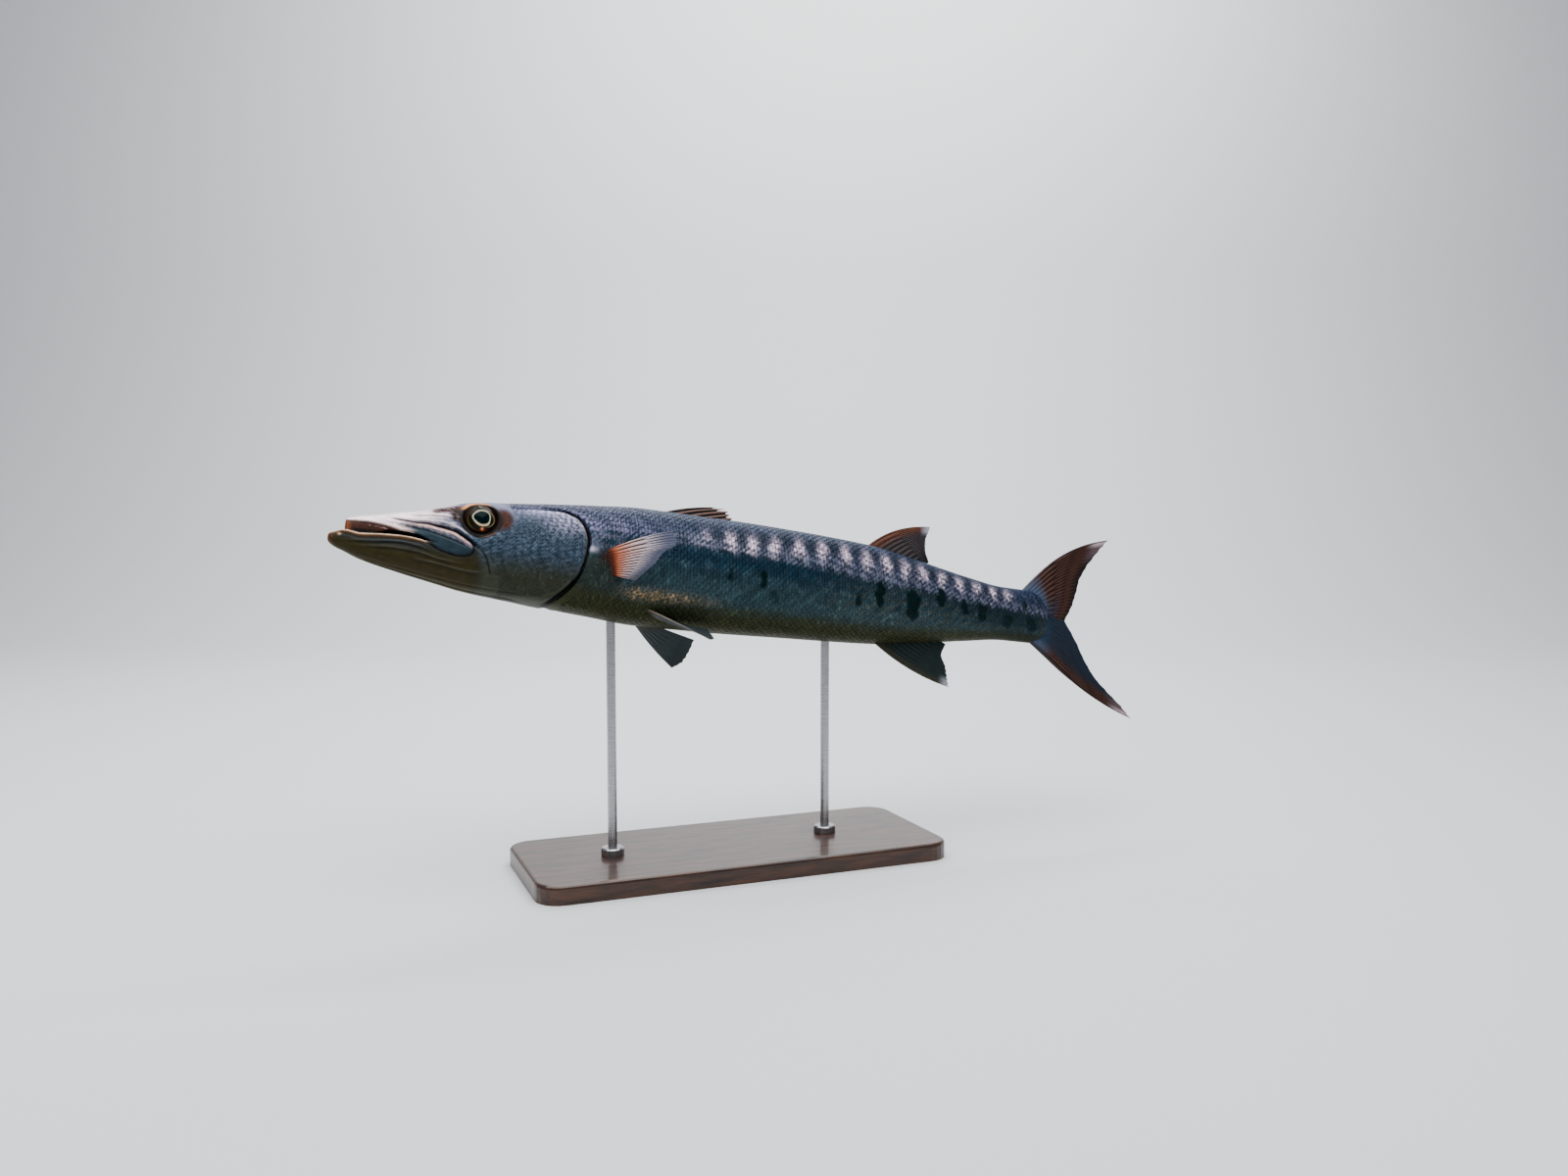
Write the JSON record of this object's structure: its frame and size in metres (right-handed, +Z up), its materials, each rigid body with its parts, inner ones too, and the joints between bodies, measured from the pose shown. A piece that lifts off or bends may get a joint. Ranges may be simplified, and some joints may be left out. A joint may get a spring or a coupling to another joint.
{
  "type": "great barracuda museum model on a display stand",
  "caption": "Life-size still model of a great barracuda in a banked swimming pose, held by rods on a flat base.",
  "frame": {"origin": "middle of the stand's underside, on the surface that it stands on, below the fish's centre of mass", "axes": "+Z up, +X towards the tail, -Y towards the fish's left side, which faces the viewer"},
  "size_m": [1.0909, 0.21, 0.446],
  "materials": {
    "skin": "painted silvery blue-grey skin with scales, olive-brown belly",
    "eye": "glossy cast eye with a dark teal pupil and a pale gold ring",
    "fin": "thin tinted fin webs between paler rays",
    "base": "dark stained, satin",
    "rod": "brushed"
  },
  "bodies": {
    "root": {"head": "skin", "lower_jaw": "skin", "gill_cover_left": "skin", "gill_cover_right": "skin", "trunk_front": "skin", "trunk_rear": "skin", "tail_stalk": "skin", "eye_left": "eye", "eye_right": "eye", "dorsal_fin_first": "fin", "dorsal_fin_second": "fin", "anal_fin": "fin", "caudal_fin_upper": "fin", "caudal_fin_lower": "fin", "pectoral_fin_left": "fin", "pectoral_fin_right": "fin", "pelvic_fin_left": "fin", "pelvic_fin_right": "fin", "stand_base": "base", "stand_rod_front": "rod", "stand_rod_rear": "rod"}
  },
  "joints": []
}
